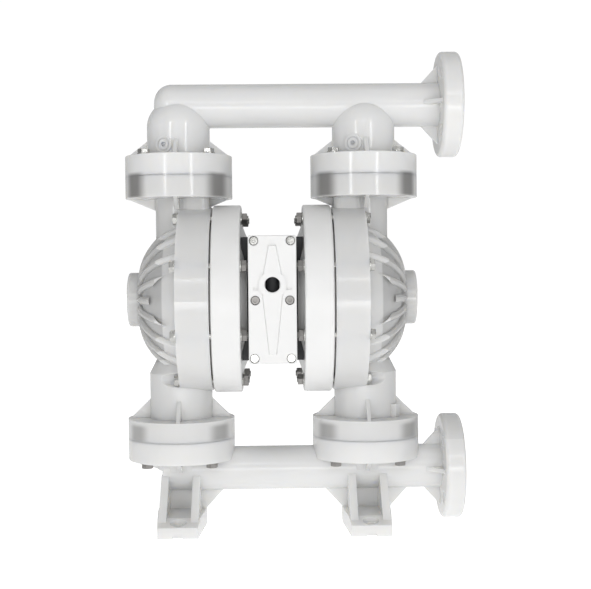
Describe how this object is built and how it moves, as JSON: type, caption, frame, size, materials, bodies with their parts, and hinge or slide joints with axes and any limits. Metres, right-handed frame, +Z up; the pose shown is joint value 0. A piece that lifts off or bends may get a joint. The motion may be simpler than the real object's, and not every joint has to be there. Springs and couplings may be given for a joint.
{
  "type": "air operated diaphragm pump",
  "caption": "Plastic air operated double diaphragm pump with flanged suction and discharge manifolds, ball valves, air valve and muffler.",
  "frame": {"origin": "on the ground, at the centre of the four foot bolt holes", "axes": "+X along the shaft and the manifolds towards the port flanges, +Y to the muffler, +Z up"},
  "size_m": [0.525, 0.345, 0.7435],
  "materials": {
    "natural_polypropylene": "translucent milky, glossy",
    "white_plastic": "opaque white, satin",
    "dark_plastic": "moulded, fine grain",
    "seal_rubber": "matt",
    "diaphragm_ptfe": "smooth white",
    "ball_ptfe": "smooth white",
    "piston_plastic": "moulded",
    "brass": "turned",
    "muffler_plastic": "moulded",
    "dark_steel": "turned, dull",
    "stainless_steel": "bright"
  },
  "bodies": {
    "housing": {"air_chamber_gasket_left": "seal_rubber", "air_chamber_gasket_right": "seal_rubber", "air_chamber_left": "white_plastic", "air_chamber_right": "white_plastic", "air_valve_body": "white_plastic", "air_valve_end_cap": "stainless_steel", "air_valve_gasket": "seal_rubber", "air_valve_screws": "stainless_steel", "centre_block": "dark_plastic", "diaphragm_left": "diaphragm_ptfe", "diaphragm_right": "diaphragm_ptfe", "discharge_flange_bolts": "stainless_steel", "discharge_flange_inserts": "dark_steel", "discharge_flange_washers": "stainless_steel", "discharge_manifold": "natural_polypropylene", "discharge_seat_left": "ball_ptfe", "discharge_seat_right": "ball_ptfe", "discharge_seat_seals": "seal_rubber", "end_cap_retaining_ring": "stainless_steel", "exhaust_gasket": "seal_rubber", "exhaust_plate": "dark_plastic", "exhaust_plate_screws": "stainless_steel", "hub_screws_left": "stainless_steel", "hub_screws_right": "stainless_steel", "liquid_chamber_left": "natural_polypropylene", "liquid_chamber_right": "natural_polypropylene", "muffler": "muffler_plastic", "pilot_sleeve": "brass", "rim_bolts_left": "stainless_steel", "rim_bolts_right": "stainless_steel", "rim_nuts_left": "dark_steel", "rim_nuts_right": "dark_steel", "rim_washers_left": "stainless_steel", "rim_washers_right": "stainless_steel", "shaft_bushings": "brass", "shaft_seals": "seal_rubber", "suction_flange_bolts": "stainless_steel", "suction_flange_inserts": "dark_steel", "suction_flange_washers": "stainless_steel", "suction_manifold": "natural_polypropylene", "suction_seat_left": "ball_ptfe", "suction_seat_right": "ball_ptfe", "suction_seat_seals": "seal_rubber"},
    "shaft_group": {"diaphragm_shaft": "stainless_steel", "inner_piston_left": "piston_plastic", "inner_piston_right": "piston_plastic", "outer_piston_left": "piston_plastic", "outer_piston_right": "piston_plastic"},
    "air_valve_spool": {"air_valve_spool": "muffler_plastic"},
    "pilot_spool": {"pilot_spool": "stainless_steel"},
    "discharge_ball_left": {"discharge_ball_left": "ball_ptfe"},
    "discharge_ball_right": {"discharge_ball_right": "ball_ptfe"},
    "suction_ball_left": {"suction_ball_left": "ball_ptfe"},
    "suction_ball_right": {"suction_ball_right": "ball_ptfe"}
  },
  "joints": [
    {"name": "shaft_stroke", "type": "slide", "parent": "housing", "child": "shaft_group", "axis": [1, 0, 0], "range_m": [-0.017, 0.017], "deforming": ["diaphragm_left", "diaphragm_right"]},
    {"name": "pilot_spool_shift", "type": "slide", "parent": "housing", "child": "pilot_spool", "axis": [1, 0, 0], "range_m": [-0.0063, 0.0063]},
    {"name": "air_valve_spool_shift", "type": "slide", "parent": "housing", "child": "air_valve_spool", "axis": [0, 0, 1], "range_m": [0, 0.014]},
    {"name": "discharge_ball_left_lift", "type": "slide", "parent": "housing", "child": "discharge_ball_left", "axis": [0, 0, 1], "range_m": [0, 0.015]},
    {"name": "discharge_ball_right_lift", "type": "slide", "parent": "housing", "child": "discharge_ball_right", "axis": [0, 0, 1], "range_m": [0, 0.015]},
    {"name": "suction_ball_left_lift", "type": "slide", "parent": "housing", "child": "suction_ball_left", "axis": [0, 0, 1], "range_m": [0, 0.015]},
    {"name": "suction_ball_right_lift", "type": "slide", "parent": "housing", "child": "suction_ball_right", "axis": [0, 0, 1], "range_m": [0, 0.015]}
  ],
  "couplings": [
    {"joint": "pilot_spool_shift", "follows": "shaft_stroke", "ratio": 0.37}
  ]
}
